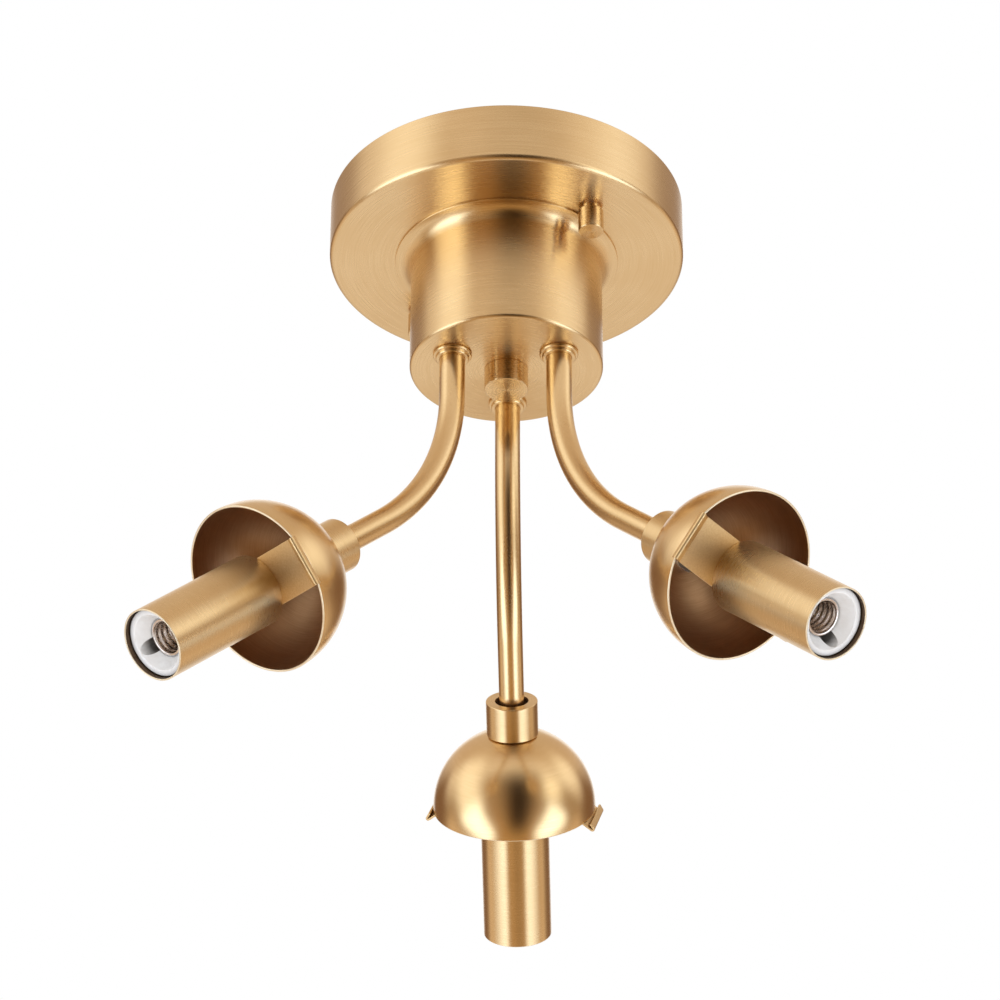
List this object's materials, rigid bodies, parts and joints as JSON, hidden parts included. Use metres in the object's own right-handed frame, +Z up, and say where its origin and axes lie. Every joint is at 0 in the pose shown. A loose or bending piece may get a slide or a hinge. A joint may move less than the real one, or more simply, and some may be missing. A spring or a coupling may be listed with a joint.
{
  "type": "semi flush ceiling light",
  "caption": "Brushed brass semi flush ceiling light: drawn canopy, cup housing, bent tube arms with domed shade holders, folded shade springs and sleeved candelabra lampholders.",
  "frame": {"origin": "middle of the ceiling bar's upper face, where it lies on the ceiling", "axes": "+Z up to the ceiling, +Y along the rear arm, +X along the ceiling bar"},
  "size_m": [0.2608, 0.2693, 0.2552],
  "materials": {
    "brass": "brushed satin",
    "steel": "zinc plated",
    "green_steel": "green passivated",
    "holder": "white, semi-gloss",
    "shell": "nickel plated",
    "contact": "plain sheet"
  },
  "bodies": {
    "fixture": {"ceiling_bar": "steel", "stud_bar": "steel", "bar_rivet": "steel", "earth_screw": "green_steel", "canopy_studs": "steel", "stud_nuts": "steel", "canopy": "brass", "bridge": "steel", "centre_rod": "steel", "rod_nuts": "steel", "housing": "brass", "arm_washers": "steel", "arm_nuts": "steel", "dome_nuts": "steel", "spring_nuts": "steel", "bracket_nuts": "steel", "holder_screws": "steel", "rear_arm": "brass", "rear_root_ring": "brass", "rear_collar": "brass", "rear_dome": "brass", "rear_shade_spring": "brass", "rear_nipple": "steel", "rear_bracket": "steel", "rear_lampholder": "holder", "rear_screw_shell": "shell", "rear_contact": "contact", "left_arm": "brass", "left_root_ring": "brass", "left_collar": "brass", "left_dome": "brass", "left_shade_spring": "brass", "left_nipple": "steel", "left_bracket": "steel", "left_lampholder": "holder", "left_screw_shell": "shell", "left_contact": "contact", "right_arm": "brass", "right_root_ring": "brass", "right_collar": "brass", "right_dome": "brass", "right_shade_spring": "brass", "right_nipple": "steel", "right_bracket": "steel", "right_lampholder": "holder", "right_screw_shell": "shell", "right_contact": "contact"},
    "front_nut": {"front_cap_nut": "brass"},
    "rear_nut": {"rear_cap_nut": "brass"},
    "finial_body": {"finial": "brass"},
    "rear_sleeve_body": {"rear_sleeve": "brass"},
    "left_sleeve_body": {"left_sleeve": "brass"},
    "right_sleeve_body": {"right_sleeve": "brass"}
  },
  "joints": [
    {"name": "front_nut_turn", "type": "hinge", "parent": "fixture", "child": "front_nut", "pos_m": [0.03356, -0.036, -0.03], "axis": [0, 0, 1], "continuous": true},
    {"name": "rear_nut_turn", "type": "hinge", "parent": "fixture", "child": "rear_nut", "pos_m": [-0.03541, 0.03418, -0.03], "axis": [0, 0, 1], "continuous": true},
    {"name": "finial_turn", "type": "hinge", "parent": "fixture", "child": "finial_body", "pos_m": [0, 0, -0.08], "axis": [0, 0, 1], "continuous": true},
    {"name": "rear_sleeve_slide", "type": "slide", "parent": "fixture", "child": "rear_sleeve_body", "axis": [0.0082, 0.7837, -0.6211], "range_m": [0, 0.048]},
    {"name": "left_sleeve_slide", "type": "slide", "parent": "fixture", "child": "left_sleeve_body", "axis": [-0.6131, -0.4341, -0.66], "range_m": [0, 0.048]},
    {"name": "right_sleeve_slide", "type": "slide", "parent": "fixture", "child": "right_sleeve_body", "axis": [0.5799, -0.4901, -0.6508], "range_m": [0, 0.048]}
  ]
}
